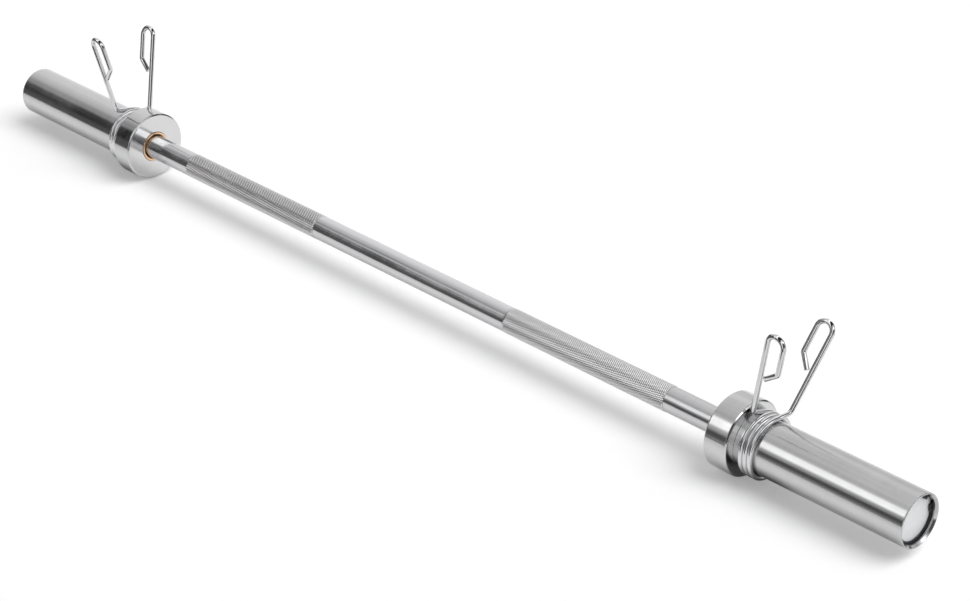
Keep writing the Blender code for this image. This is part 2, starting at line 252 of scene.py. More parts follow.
@dataclass(frozen=True)
class Finish:
    """A metal finish: a base colour with fine grain, smudges and tool marks.

    Rings are the fine lines that turning leaves, streaks run along the bar, and pits are small dents.
    Painted shade darkens the grooves of a knurl, between the groove's radius and the crest's, which
    are rougher too. A reach says how many times to the metre the rings or the streaks change along
    their own run.
    """

    name: str
    slot: str
    colour: tuple[float, float, float]
    roughness: float
    metallic: float = 1.0
    roughness_spread: float = 0.05
    smudge_size: float = 0.03
    tone_spread: float = 0.05
    ring_pitch: float = 0.0
    ring_bump: float = 0.0
    pit_size: float = 0.0
    pit_bump: float = 0.0
    stretch: float = 0.0
    stretch_turn: float = 0.25
    groove_radius: float = 0.0
    crest_radius: float = 0.0
    painted_groove_shade: float = 1.0
    groove_roughness: float = 0.12
    streak_size: float = 0.0
    least_roughness: float = 0.02
    ring_reach: float = 12.0
    ring_share: float = 0.4
    streak_reach: float = 5.0

    def make(self) -> bpy.types.Material:
        """Builds the material.

        Returns:
            A material whose patterns read Object coordinates.
        """
        material = bpy.data.materials.new(self.name)
        material.use_nodes = True
        sketch = Sketch(material.node_tree)
        surface = Surface(sketch, sketch.add("TexCoord").outputs["Object"])
        self.smudge(surface)
        if self.ring_pitch:
            self.add_rings(surface)
        if self.streak_size:
            self.add_streaks(surface)
        if self.pit_size:
            pits = sketch.noise(surface.place, self.pit_size, detail=5.0, roughness=0.65)
            surface.heights.append((pits, self.pit_bump))
        if self.crest_radius:
            self.shade_and_roughen_grooves(surface)
        self.shade(surface)
        return material

    def smudge(self, surface: Surface) -> None:
        """Spreads soft smudges over the tone and the roughness.

        Args:
            surface: The surface, which is changed.
        """
        ramp = surface.sketch.ramp
        smudges = surface.sketch.noise(surface.place, self.smudge_size, detail=4.0, roughness=0.6)
        low = max(self.roughness - self.roughness_spread, self.least_roughness)
        surface.tone = ramp(smudges, *SMUDGE_RANGE, 1 - self.tone_spread, 1.0)
        surface.rough = ramp(smudges, *NOISE_RANGE, low, self.roughness + self.roughness_spread)

    def squeeze(self, surface: Surface, scale: tuple[float, float, float], roughness: float) -> Socket:
        """Darkens the tone by noise that is squeezed along some axes, and gives the noise.

        Args:
            surface: The surface, which is changed.
            scale: How often the noise changes to the metre along X, Y and Z.
            roughness: How strong the noise's finer layers are.

        Returns:
            The noise.
        """
        sketch = surface.sketch
        squeezed = sketch.add("Mapping", {"Vector": surface.place, "Scale": scale}).outputs[0]
        noise = sketch.noise(squeezed, 1.0, 3.0, roughness)
        tone = sketch.ramp(noise, *NOISE_RANGE, 1 - self.tone_spread, 1.0)
        surface.tone = sketch.product(surface.tone, tone)
        return noise

    def add_rings(self, surface: Surface) -> None:
        """Adds the fine lines round the bar that turning leaves.

        Args:
            surface: The surface, which is changed.
        """
        sketch = surface.sketch
        rings = self.squeeze(surface, (1 / self.ring_pitch, self.ring_reach, self.ring_reach), 0.7)
        surface.heights.append((rings, self.ring_bump))
        swing = self.ring_share * self.roughness_spread
        surface.rough = sketch.calc("ADD", surface.rough, sketch.ramp(rings, *NOISE_RANGE, -swing, swing))

    def add_streaks(self, surface: Surface) -> None:
        """Adds the faint streaks that polishing leaves along the bar.

        Args:
            surface: The surface, which is changed.
        """
        self.squeeze(surface, (self.streak_reach, 1 / self.streak_size, 1 / self.streak_size), 0.6)

    def shade_and_roughen_grooves(self, surface: Surface) -> None:
        """Darkens with painted shade, and roughens, what lies nearer to the bar's axis than the crests do.

        Args:
            surface: The surface, which is changed.
        """
        sketch = surface.sketch
        parts = sketch.add("SeparateXYZ", {"Vector": surface.place}).outputs
        squares = [sketch.calc("POWER", parts[axis], 2.0) for axis in "YZ"]
        radius = sketch.calc("SQRT", sketch.calc("ADD", *squares))
        limits = (self.groove_radius, self.crest_radius)
        # painted shade: the tone falls from the crests down into the grooves
        surface.tone = sketch.product(surface.tone, sketch.ramp(radius, *limits, self.painted_groove_shade, 1.0))
        roughening = sketch.ramp(radius, *limits, self.groove_roughness, 0.0)
        surface.rough = sketch.calc("ADD", surface.rough, roughening)

    def shade(self, surface: Surface) -> None:
        """Feeds the surface to the shader.

        Args:
            surface: The finished surface.
        """
        sketch = surface.sketch
        tint = {"Factor": surface.tone, "A": (0, 0, 0, 1), "B": (*self.colour, 1)}
        colour = sketch.add("Mix", tint, data_type="RGBA").outputs["Result"]
        inputs = {"Metallic": self.metallic, "Base Color": colour, "Roughness": surface.rough}
        normal = {}
        for height, depth in surface.heights:
            bump = sketch.add("Bump", {"Height": height, "Strength": 1.0, "Distance": depth, **normal})
            normal = {"Normal": bump.outputs[0]}
        if self.stretch:
            tangent = sketch.add("Tangent", direction_type="RADIAL", axis="X").outputs[0]
            inputs |= {
                "Anisotropic": self.stretch, "Anisotropic Rotation": self.stretch_turn, "Tangent": tangent}
        shader = sketch.add("BsdfPrincipled", inputs | normal)
        sketch.add("OutputMaterial", {"Surface": shader.outputs[0]})


@dataclass
class Finishes:
    """Every finish of the barbell, each made once."""

    bar: Finish = Finish(
        "bar hard chrome", "grip_chrome", (0.63, 0.63, 0.64), 0.15, roughness_spread=0.03,
        ring_pitch=0.0004, ring_bump=0.000001, stretch=0.8, streak_size=0.0008)
    # the knurl's grooves are darkened with painted shade
    knurl: Finish = Finish(
        "knurled chrome", "grip_chrome", (0.93, 0.92, 0.93), 0.13, roughness_spread=0.04,
        groove_radius=0.01224, crest_radius=0.01240, painted_groove_shade=0.22, pit_size=0.0006, pit_bump=0.000003)
    sleeve: Finish = Finish(
        "sleeve satin chrome", "sleeve_chrome", (0.62, 0.62, 0.625), 0.16, roughness_spread=0.02,
        ring_pitch=0.0006, ring_bump=0.000002, stretch=0.65, tone_spread=0.06, streak_size=0.0012)
    collar: Finish = Finish(
        "collar chrome", "collar_chrome", (0.64, 0.64, 0.645), 0.13, roughness_spread=0.03,
        ring_pitch=0.0005, ring_bump=0.000001, stretch=0.6, streak_size=0.0014)
    faced: Finish = Finish(
        "faced collar chrome", "collar_chrome", (0.68, 0.68, 0.685), 0.16, roughness_spread=0.03,
        smudge_size=0.012, tone_spread=0.04, pit_size=0.0008, pit_bump=0.000004)
    wire: Finish = Finish(
        "spring wire chrome", "spring_wire", (0.70, 0.70, 0.71), 0.05, roughness_spread=0.02,
        smudge_size=0.008, pit_size=0.004, pit_bump=0.00002)
    bored: Finish = Finish(
        "bored mouth steel", "sleeve_chrome", (0.66, 0.66, 0.66), 0.30, roughness_spread=0.08,
        ring_pitch=0.0005, ring_bump=0.00002, tone_spread=0.25)
    bronze: Finish = Finish(
        "sintered bronze", "bronze", (0.94, 0.66, 0.44), 0.22, roughness_spread=0.06,
        smudge_size=0.004, tone_spread=0.2, pit_size=0.0005, pit_bump=0.00001)
    steel: Finish = Finish(
        "ground washer steel", "washer_steel", (0.50, 0.50, 0.52), 0.38, smudge_size=0.01,
        pit_size=0.0008, pit_bump=0.00002)
    black: Finish = Finish(
        "black oxide", "ring_steel", (0.035, 0.035, 0.04), 0.42, metallic=0.6, smudge_size=0.004,
        tone_spread=0.3, pit_size=0.0006, pit_bump=0.00002)
    plate: Finish = Finish(
        "pale end plate", "end_plate", (0.88, 0.89, 0.90), 0.45, metallic=0.25, smudge_size=0.01,
        tone_spread=0.06, pit_size=0.0009, pit_bump=0.00001)
    made: dict[str, bpy.types.Material] = field(default_factory=dict)

    def material(self, finish: Finish) -> bpy.types.Material:
        """The finish's material, made on first use.

        Args:
            finish: One of this set's finishes.

        Returns:
            Its material.
        """
        if finish.name not in self.made:
            self.made[finish.name] = finish.make()
        return self.made[finish.name]


class Workshop:
    """Turns, bends and cuts meshes, and puts the finished pieces on their bodies."""

    def __init__(self, finishes: Finishes) -> None:
        """Keeps the finishes that the pieces take.

        Args:
            finishes: The barbell's finishes.
        """
        self.finishes = finishes
        self.pieces: list[bpy.types.Object] = []

    def revolve(self, profile: Sequence[Point], facets: int, solid: bool = False) -> bmesh.types.BMesh:
        """Spins (x, radius) points round the bar's axis.

        Args:
            profile: The outline. A ring's outline closes on itself, and a solid's ends on the axis.
            facets: How many steps make the full turn.
            solid: Whether the outline starts and ends on the axis.

        Returns:
            A closed shape with its faces pointing out.
        """
        shape = bmesh.new()
        corners = [shape.verts.new((x, radius, 0.0)) for x, radius in profile]
        pairs = list(zip(corners, corners[1:]))
        if not solid:
            pairs.append((corners[-1], corners[0]))
        edges = [shape.edges.new(pair) for pair in pairs]
        bmesh.ops.spin(
            shape, geom=corners + edges, cent=(0, 0, 0), axis=(1, 0, 0), angle=TURN, steps=facets,
            use_merge=True)
        bmesh.ops.remove_doubles(shape, verts=shape.verts, dist=SAME_PLACE)
        bmesh.ops.recalc_face_normals(shape, faces=shape.faces)
        return shape

    def brace(self, outline: Sequence[Point], margin: float, closed: bool = True) -> list[Point]:
        """Adds points beside each corner, which keep the shading of long stretches even.

        Args:
            outline: The outline's corners.
            margin: How far from a corner the extra points lie.
            closed: Whether the last corner joins the first.

        Returns:
            The outline with its extra points.
        """
        ends = list(zip(outline, outline[1:]))
        if closed:
            ends.append((outline[-1], outline[0]))
        braced = []
        for first, last in ends:
            braced.append(first)
            span = math.dist(first, last)
            if span > 3 * margin:
                for share in (margin / span, 1 - margin / span):
                    braced.append(tuple(a + (b - a) * share for a, b in zip(first, last)))
        return braced if closed else braced + [outline[-1]]

    def ease_rims(
        self, shape: bmesh.types.BMesh, size: float, segments: int = 3, sharper_than: float = 25.0
    ) -> None:
        """Rounds every sharp rim of a turned shape.

        Args:
            shape: The shape, which is changed.
            size: How far the rounding reaches from the edge.
            segments: Steps in the rounding.
            sharper_than: The least angle between faces, in degrees, that is rounded.
        """
        limit = math.radians(sharper_than)
        rims = [edge for edge in shape.edges if edge.is_manifold and edge.calc_face_angle(0.0) > limit]
        bmesh.ops.bevel(
            shape, geom=rims, offset=size, offset_type="OFFSET", segments=segments, profile=0.5,
            affect="EDGES", material=-1, clamp_overlap=True)
        bmesh.ops.recalc_face_normals(shape, faces=shape.faces)

    def finish(
        self, shape: bmesh.types.BMesh, name: str, place: Matrix, sharp: float = 28.0
    ) -> bpy.types.Object:
        """Makes an object of a shape, with its place in its mesh.

        Args:
            shape: The shape, which is used up.
            name: The piece's name.
            place: Where the shape goes.
            sharp: The angle in degrees above which an edge stays sharp.

        Returns:
            The object, at the origin.
        """
        shape.transform(place)
        mesh = mesh_of(shape, name)
        mesh.shade_smooth()
        mesh.set_sharp_from_angle(angle=math.radians(sharp))
        made = put_in_scene(name, mesh)
        self.pieces.append(made)
        return made

    def wire(self, path: Sequence[Vector], thickness: float, sides: int) -> bmesh.types.BMesh:
        """Draws a round wire with flat ends along a path.

        Args:
            path: The wire's centre line.
            thickness: The wire's diameter.
            sides: How many sides the wire has.

        Returns:
            The closed wire.
        """
        curve = bpy.data.curves.new("wire path", "CURVE")
        curve.dimensions = "3D"
        curve.bevel_depth = thickness / 2
        # a curve of resolution r has 2 r + 4 sides
        curve.bevel_resolution = (sides - 4) // 2
        curve.use_fill_caps = True
        spline = curve.splines.new("POLY")
        spline.points.add(len(path) - 1)
        for point, place in zip(spline.points, path):
            point.co = (*place, 1.0)
        return self.from_curve(curve)

    def from_curve(self, curve: bpy.types.Curve) -> bmesh.types.BMesh:
        """Makes a shape of a curve and removes the curve.

        Args:
            curve: The curve, which is used up.

        Returns:
            The shape, with its doubled points merged.
        """
        holder = put_in_scene("holder", curve)
        graph = bpy.context.evaluated_depsgraph_get()
        mesh = bpy.data.meshes.new_from_object(holder.evaluated_get(graph))
        bpy.data.objects.remove(holder, do_unlink=True)
        bpy.data.curves.remove(curve)
        shape = bmesh.new()
        shape.from_mesh(mesh)
        bpy.data.meshes.remove(mesh)
        bmesh.ops.remove_doubles(shape, verts=shape.verts, dist=SAME_PLACE)
        bmesh.ops.recalc_face_normals(shape, faces=shape.faces)
        return shape

    def dress(self, piece: bpy.types.Object, finish: Finish) -> None:
        """Gives a piece its main material.

        Args:
            piece: The piece.
            finish: Its finish.
        """
        piece.data.materials.clear()
        piece.data.materials.append(self.finishes.material(finish))

    def mount(self, piece: bpy.types.Object, finish: Finish, body: str, node: str) -> None:
        """Dresses a piece, puts it on its body and lets it stand for a node of the part.

        Args:
            piece: The piece.
            finish: Its finish.
            body: The body that it rides on.
            node: The node that it replaces.
        """
        self.dress(piece, finish)
        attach(piece, body)
        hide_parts(node)
        LOG.info("%s rides on %s and stands for %s", piece.name, body, node)


@dataclass
class GripBar:
    """The solid bar: plain middle, two knurled grips and the journals inside the sleeves."""

    shop: Workshop
    radius: float = 0.01225
    grip_start: float = 0.133
    grip_end: float = 0.333
    crest: float = 0.01254
    groove: float = 0.01223
    flat_top: float = 0.00026
    knurl_step: float = 0.001485
    shoulder: float = 0.5555
    journal: float = 0.011
    end: float = 0.590
    clip_groove: float = 0.0103
    groove_from: float = 0.5814
    groove_to: float = 0.5835
    edge: float = 0.0005
    facets: int = 84
    smooth_up_to: float = 14.0

    def knurl_rings(self) -> list[float]:
        """The places along one grip at which its rings of points lie.

        Returns:
            Distances from the middle of the bar.
        """
        length = self.grip_end - self.grip_start
        rings = round(length / self.knurl_step)
        return [self.grip_start + length * ring / rings for ring in range(rings + 1)]

    def outline(self) -> list[Point]:
        """The bar's outline from end to end.

        Returns:
            Points of distance along the bar and radius.
        """
        outer = [
            (self.shoulder - self.edge, self.radius), (self.shoulder, self.radius - self.edge),
            (self.shoulder, self.journal), (self.groove_from, self.journal),
            (self.groove_from, self.clip_groove), (self.groove_to, self.clip_groove),
            (self.groove_to, self.journal), (self.end - self.edge, self.journal),
            (self.end, self.journal - self.edge), (self.end, 0.0),
        ]
        right = [(x, self.radius) for x in self.knurl_rings()] + outer
        return [(-x, radius) for x, radius in reversed(right)] + right

    def cut_knurl(self, shape: bmesh.types.BMesh) -> None:
        """Raises every other point of the grips into flat-topped diamonds with grooves between them.

        Args:
            shape: The turned bar, which is changed.
        """
        rings = self.knurl_rings()
        step = rings[1] - rings[0]
        crests, grooves = [], []
        for vert in shape.verts:
            away = abs(vert.co.x)
            if not self.grip_start + step / 2 < away < self.grip_end - step / 2:
                continue
            ring = round((away - self.grip_start) / step)
            spoke = round(math.atan2(vert.co.z, vert.co.y) / TURN * self.facets)
            if (ring + spoke) % 2:
                crests.append(vert)
                radius = self.crest
            else:
                grooves.append(vert)
                radius = self.groove
            scale = radius / math.hypot(vert.co.y, vert.co.z)
            vert.co.y *= scale
            vert.co.z *= scale
        bmesh.ops.connect_verts(shape, verts=grooves)
        bmesh.ops.bevel(
            shape, geom=crests, offset=self.flat_top, offset_type="OFFSET", segments=1, profile=0.5,
            affect="VERTICES", material=-1, clamp_overlap=True)

    def build(self) -> None:
        """Makes the bar and puts it on the bar's body."""
        shape = self.shop.revolve(self.outline(), self.facets, solid=True)
        self.cut_knurl(shape)
        piece = self.shop.finish(shape, "bar_with_knurled_grips", Matrix.Identity(4), self.smooth_up_to)
        self.shop.mount(piece, self.shop.finishes.bar, "bar", "shaft")
        piece.data.materials.append(self.shop.finishes.material(self.shop.finishes.knurl))
        for polygon in piece.data.polygons:
            if self.grip_start < abs(polygon.center.x) < self.grip_end:
                polygon.material_index = 1
                polygon.use_smooth = False


@dataclass
class RevolvingSleeve:
    """One end of the bar: the tube, its collar, the bush, and the disc and ring in its mouth."""

    shop: Workshop
    bar_end: End
    length: float = 0.6035
    collar_start: float = 0.400
    collar_end: float = 0.425
    collar_radius: float = 0.0355
    collar_chamfer: float = 0.0014
    web: float = 0.005
    radius: float = 0.025
    bore: float = 0.0165
    mouth: float = 0.0220
    rim_round: float = 0.0008
    mouth_chamfer: float = 0.0018
    ring_depth: float = 0.0043
    ring_thickness: float = 0.0015
    ring_groove: float = 0.0231
    disc_thickness: float = 0.0028
    gap: float = 0.0003
    lip_bore: float = 0.0158
    bush_bore: float = 0.01285
    bush_radius: float = 0.0157
    bush_length: float = 0.030
    bush_chamfer: float = 0.0012
    bush_standout: float = 0.0008
    socket_gap: float = 0.0001
    disc_gap: float = 0.0001
    lip_chamfer: float = 0.0004
    collar_ease: float = 0.00022
    bush_ease: float = 0.0003
    disc_ease: float = 0.0005
    brace_margin: float = 0.0006
    bush_margin: float = 0.0004
    disc_margin: float = 0.0009
    groove_slack: float = 0.0001
    flat_share: float = 0.98
    rim_steps: int = 8
    facets: int = 144
    small_facets: int = 96

    @property
    def ring_inner_face(self) -> float:
        """Where the snap ring's inner face lies."""
        return self.length - self.ring_depth - self.ring_thickness

    @property
    def disc_start(self) -> float:
        """Where the end disc's inner face lies."""
        return self.ring_inner_face - self.gap - self.disc_thickness

    def tube(self) -> bmesh.types.BMesh:
        """The tube with its stepped mouth, ring groove and rounded rim.

        Returns:
            The shape.
        """
        rim = []
        for step in range(self.rim_steps + 1):
            turn = QUARTER * step / self.rim_steps
            rim.append((
                self.length - self.rim_round + self.rim_round * math.sin(turn),
                self.radius - self.rim_round + self.rim_round * math.cos(turn)))
        ring_start = self.ring_inner_face - self.gap
        ring_end = self.ring_inner_face + self.ring_thickness + self.gap
        seat = self.disc_start - self.gap
        mouth = [
            (self.length, self.mouth + self.mouth_chamfer), (self.length - self.mouth_chamfer, self.mouth),
            (ring_end, self.mouth), (ring_end, self.ring_groove), (ring_start, self.ring_groove),
            (ring_start, self.mouth), (seat, self.mouth), (seat, self.bore)]
        start = self.collar_start + self.web + self.gap
        outline = [(start, self.bore), (start, self.radius)] + rim + mouth
        return self.shop.revolve(self.shop.brace(outline, self.brace_margin), self.facets)

    def collar(self) -> bmesh.types.BMesh:
        """The collar with chamfered rims and the socket for the tube.

        Returns:
            The shape.
        """
        start, end, rim = self.collar_start, self.collar_end, self.collar_radius
        chamfer, lip = self.collar_chamfer, self.lip_chamfer
        socket = self.radius + self.socket_gap
        outline = [
            (start + lip, self.lip_bore), (start, self.lip_bore + lip), (start, rim - chamfer),
            (start + chamfer, rim), (end - chamfer, rim), (end, rim - chamfer), (end, socket),
            (start + self.web, socket), (start + self.web, self.lip_bore)]
        shape = self.shop.revolve(self.shop.brace(outline, self.brace_margin), self.facets)
        self.shop.ease_rims(shape, self.collar_ease)
        return shape

    def bush(self) -> bmesh.types.BMesh:
        """The bronze bush whose face shows round the bar.

        Returns:
            The shape.
        """
        start, end = self.collar_start - self.bush_standout, self.collar_start + self.bush_length
        outline = [
            (start + self.bush_chamfer, self.bush_bore), (start, self.bush_bore + self.bush_chamfer),
            (start, self.bush_radius), (end, self.bush_radius), (end, self.bush_bore)]
        shape = self.shop.revolve(self.shop.brace(outline, self.bush_margin), self.small_facets)
        self.shop.ease_rims(shape, self.bush_ease)
        return shape

    def disc(self) -> bmesh.types.BMesh:
        """The plain disc that closes the mouth.

        Returns:
            The shape.
        """
        start, end = self.disc_start, self.disc_start + self.disc_thickness
        rim = self.mouth - self.disc_gap
        corners = [(start, 0.0), (start, rim), (end, rim), (end, 0.0)]
        outline = self.shop.brace(corners, self.disc_margin, False)
        shape = self.shop.revolve(outline, self.small_facets, solid=True)
        self.shop.ease_rims(shape, self.disc_ease, segments=4)
        return shape

    def build(self) -> None:
        """Makes one end's pieces and puts them on the sleeve's body."""
        body = f"{self.bar_end.label}_sleeve"
        looks = self.shop.finishes
        for word, shape, finish in (
            ("sleeve_tube", self.tube(), looks.sleeve),
            ("collar_ring", self.collar(), looks.collar),
            ("inner_bush", self.bush(), looks.bronze),
            ("end_disc", self.disc(), looks.plate),
        ):
            node = f"{self.bar_end.label}_{word}"
            piece = self.shop.finish(shape, f"{node}_turned", self.bar_end.place)
            self.shop.mount(piece, finish, body, node)
            if word == "sleeve_tube":
                self.dress_mouth(piece)
            if word == "collar_ring":
                self.dress_faces(piece)
        ring_middle = self.ring_inner_face + self.ring_thickness / 2
        ring_rim = self.ring_groove - self.gap
        SnapRing(self.shop, self.bar_end, ring_middle, ring_rim, self.ring_thickness).build()
        self.dress_hidden()

    def dress_mouth(self, tube: bpy.types.Object) -> None:
        """Gives the walls inside the sleeve's mouth their rougher, bored finish.

        Args:
            tube: The finished tube.
        """
        tube.data.materials.append(self.shop.finishes.material(self.shop.finishes.bored))
        for polygon in tube.data.polygons:
            radius = math.hypot(polygon.center.y, polygon.center.z)
            inside = radius < self.ring_groove + self.groove_slack
            if inside and abs(polygon.center.x) < self.length - self.mouth_chamfer:
                polygon.material_index = 1

    def dress_faces(self, collar: bpy.types.Object) -> None:
        """Gives the collar's two flat faces their satin finish.

        Args:
            collar: The finished collar.
        """
        collar.data.materials.append(self.shop.finishes.material(self.shop.finishes.faced))
        for polygon in collar.data.polygons:
            if abs(polygon.normal.x) > self.flat_share:
                polygon.material_index = 1

    def dress_hidden(self) -> None:
        """Gives the pieces inside the sleeve, which stay as the part has them, their finishes."""
        end, looks = self.bar_end, self.shop.finishes
        for word, finish in (
            ("outer_bush", looks.bronze), ("inner_thrust_washer", looks.steel),
            ("outer_thrust_washer", looks.steel), ("shaft_circlip", looks.black),
        ):
            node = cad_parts[f"{end.label}_{word}"]
            for place in node.material_slots:
                place.material = looks.material(finish)
            LOG.info("%s keeps its own shape", node.name)


@dataclass
class SnapRing:
    """The flat spring ring in a sleeve's mouth, open on one side, with a drilled lug at each end."""

    shop: Workshop
    bar_end: End
    middle: float
    rim: float
    thickness: float
    width: float = 0.0028
    lug_depth: float = 0.0046
    gap_half: float = math.radians(15)
    lug_arc: float = math.radians(22)
    gap_turn: float = math.radians(32)
    hole: float = 0.0009
    edge: float = 0.00012
    shoulder_share: float = 0.78
    hole_share: float = 0.42
    hole_depth_share: float = 0.55
    rim_steps: int = 120
    body_steps: int = 110
    lug_steps: int = 10
    hole_steps: int = 20

    def arc(self, radius: float, start: float, end: float, steps: int) -> list[Point]:
        """Points on a circle round the ring's middle.

        Args:
            radius: The circle's radius.
            start: The first angle.
            end: The last angle.
            steps: How many steps the arc has.

        Returns:
            The points, in the ring's plane.
        """
        turns = [start + (end - start) * step / steps for step in range(steps + 1)]
        return [(radius * math.cos(turn), radius * math.sin(turn)) for turn in turns]

    def outlines(self) -> list[list[Point]]:
        """The ring's outline and its two holes.

        Returns:
            Closed outlines in the ring's plane.
        """
        rim = self.rim - self.edge
        body = self.rim - self.width + self.edge
        lug = self.rim - self.lug_depth + self.edge
        lug_end = self.gap_half + self.lug_arc
        shoulder = self.gap_half + self.lug_arc * self.shoulder_share
        shapes = [
            self.arc(rim, self.gap_half, TURN - self.gap_half, self.rim_steps)
            + self.arc(lug, TURN - self.gap_half, TURN - shoulder, self.lug_steps)
            + self.arc(body, TURN - lug_end, lug_end, self.body_steps)
            + self.arc(lug, shoulder, self.gap_half, self.lug_steps)]
        hole_turn = self.gap_half + self.lug_arc * self.hole_share
        out = rim - self.lug_depth * self.hole_depth_share
        hole = self.arc(self.hole + self.edge, 0.0, TURN, self.hole_steps)[:-1]
        for turn in (hole_turn, -hole_turn):
            across, up = out * math.cos(turn), out * math.sin(turn)
            shapes.append([(across + x, up + y) for x, y in hole])
        return shapes

    def build(self) -> None:
        """Makes the ring and puts it in its groove."""
        curve = bpy.data.curves.new("ring outline", "CURVE")
        curve.dimensions = "2D"
        curve.fill_mode = "BOTH"
        curve.extrude = self.thickness / 2 - self.edge
        curve.bevel_depth = self.edge
        curve.bevel_resolution = 2
        for outline in self.outlines():
            spline = curve.splines.new("POLY")
            spline.points.add(len(outline) - 1)
            for point, (across, up) in zip(spline.points, outline):
                point.co = (across, up, 0.0, 1.0)
            spline.use_cyclic_u = True
        shape = self.shop.from_curve(curve)
        # the outline is drawn flat and stands up square to the bar
        stand = Matrix(((0, 0, 1, 0), (1, 0, 0, 0), (0, 1, 0, 0), (0, 0, 0, 1)))
        turned = Matrix.Rotation(self.gap_turn, 4, "X") @ stand
        place = self.bar_end.place @ Matrix.Translation((self.middle, 0, 0)) @ turned
        node = f"{self.bar_end.label}_end_snap_ring"
        ring = self.shop.finish(shape, f"{node}_stamped", place)
        self.shop.mount(ring, self.shop.finishes.black, f"{self.bar_end.label}_sleeve", node)


@dataclass
class SpringClip:
    """One spring clip: a coil of three turns with a looped handle at each of its ends."""

    shop: Workshop
    bar_end: End
    past_collar: float
    roll: float
    wire: float = 0.00498
    pitch: float = 0.00505
    sleeve_radius: float = 0.025
    collar_end: float = 0.425
    turns: int = 3
    spread: float = math.radians(27.1)
    bend_radius: float = 0.0339
    lean: float = math.radians(14)
    tilt: float = math.radians(10)
    leg: float = 0.076
    loop_width: float = 0.0168
    loop_return: float = 0.0252
    tail_drop: float = 0.0115
    tail_reach: float = 0.0117
    foot_round: float = 0.0055
    tail_round: float = 0.0045
    clearance: float = 0.00003
    end_ease: float = 0.0004
    sharp_end: float = 60.0
    smooth_up_to: float = 50.0
    points_per_turn: int = 72
    points_per_bend: int = 16
    least_points: int = 6
    sides: int = 20

    @property
    def radius(self) -> float:
        """The radius of the wire's centre line in the coil."""
        return self.sleeve_radius + self.wire / 2 + self.clearance

    @property
    def half(self) -> float:
        """Half of the coil's winding, between the two points where the wire leaves it."""
        return math.pi * self.turns + self.spread - math.acos(self.radius / self.bend_radius)

    def on_coil(self, angle: float) -> Vector:
        """A point of the winding.

        Args:
            angle: The winding's angle, 0 at the coil's middle, under the bar.

        Returns:
            The point, with the coil's middle at x = 0.
        """
        turn = angle - QUARTER
        along = -self.pitch * angle / TURN
        return Vector((along, self.radius * math.cos(turn), self.radius * math.sin(turn)))

    def heading(self, angle: float) -> Vector:
        """The wire's direction at a point of the winding.

        Args:
            angle: The winding's angle.

        Returns:
            A unit vector.
        """
        turn = angle - QUARTER
        run = Vector((-self.pitch / TURN, -self.radius * math.sin(turn), self.radius * math.cos(turn)))
        return run.normalized()

    def half_coil(self, side: int) -> list[Vector]:
        """The centre line of the coil from its middle to one handle.

        Args:
            side: 1 for the inner handle's half, -1 for the outer one's.

        Returns:
            The points.
        """
        steps = round(self.half / TURN * self.points_per_turn)
        winding = [self.on_coil(side * self.half * step / steps) for step in range(steps + 1)]
        leave = self.heading(side * self.half) * side
        return winding + [winding[-1] + leave * self.wire]

    def handle(self, side: int) -> list[Vector]:
        """The centre line of one handle, from the coil to the tail.

        Args:
            side: 1 for the inner handle, -1 for the outer one.

        Returns:
            The points.
        """
        leave = self.on_coil(side * self.half)
        heading = self.heading(side * self.half) * side
        start = leave + heading * self.wire
        foot = leave + heading * math.sqrt(self.bend_radius ** 2 - self.radius ** 2)
        leg_turn = QUARTER + side * (self.spread - self.lean)
        outward = Vector((1.0, 0.0, 0.0))
        radial = Vector((0.0, math.cos(leg_turn), math.sin(leg_turn)))
        up = radial * math.cos(self.tilt) + outward * math.sin(self.tilt)
        across = (outward * math.cos(self.tilt) - radial * math.sin(self.tilt)) * side
        top = foot + up * (self.leg + self.loop_width / 2)
        over = top + across * self.loop_width
        low = over - up * (self.loop_width / 2 + self.loop_return)
        tail = low - up * self.tail_drop - across * self.tail_reach
        bend = self.loop_width / 2
        corners = [start, foot, top, over, low, tail]
        return self.round_off(corners, [self.foot_round, bend, bend, self.tail_round])

    def round_off(self, corners: Sequence[Vector], radii: Iterable[float]) -> list[Vector]:
        """Joins corners by straight runs and bends of the given radii.

        Args:
            corners: The path's corners.
            radii: One radius for each corner between the first and the last.

        Returns:
            The path's points.
        """
        path = [corners[0]]
        for before, corner, after, radius in zip(corners, corners[1:], corners[2:], radii):
            arriving = (corner - before).normalized()
            leaving = (after - corner).normalized()
            bend = arriving.angle(leaving)
            centre = corner + (leaving - arriving).normalized() * radius / math.cos(bend / 2)
            first = corner - arriving * radius * math.tan(bend / 2) - centre
            axis = arriving.cross(leaving)
            steps = max(self.least_points, round(self.points_per_bend * bend / QUARTER))
            turned = [
                centre + Matrix.Rotation(bend * step / steps, 3, axis) @ first for step in range(steps + 1)]
            if (turned[0] - path[-1]).length < SAME_PLACE:
                turned.pop(0)
            path += turned
        path.append(corners[-1])
        return path

    def build(self) -> None:
        """Makes the clip's coil halves and handles, and puts the handles on their bodies."""
        end = self.bar_end
        middle = self.collar_end + self.past_collar
        place = end.place @ Matrix.Translation((middle, 0, 0)) @ Matrix.Rotation(self.roll, 4, "X")
        looks = self.shop.finishes
        coil_node = f"{end.label}_clip_coil"
        for side, word in ((1, "inner"), (-1, "outer")):
            body = f"{end.label}_{word}_grip"
            shape = self.shop.wire(self.handle(side), self.wire, self.sides)
            self.shop.ease_rims(shape, self.end_ease, sharper_than=self.sharp_end)
            node = f"{end.label}_clip_{word}_handle"
            handle = self.shop.finish(shape, f"{node}_wire", place, self.smooth_up_to)
            self.shop.mount(handle, looks.wire, body, node)
            shape = self.shop.wire(self.half_coil(side), self.wire, self.sides)
            half = self.shop.finish(shape, f"{coil_node}_{word}_half", place, self.smooth_up_to)
            self.shop.dress(half, looks.wire)
            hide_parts(coil_node)
            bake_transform(half)
            LOG.info("%s bends with %s", half.name, body)


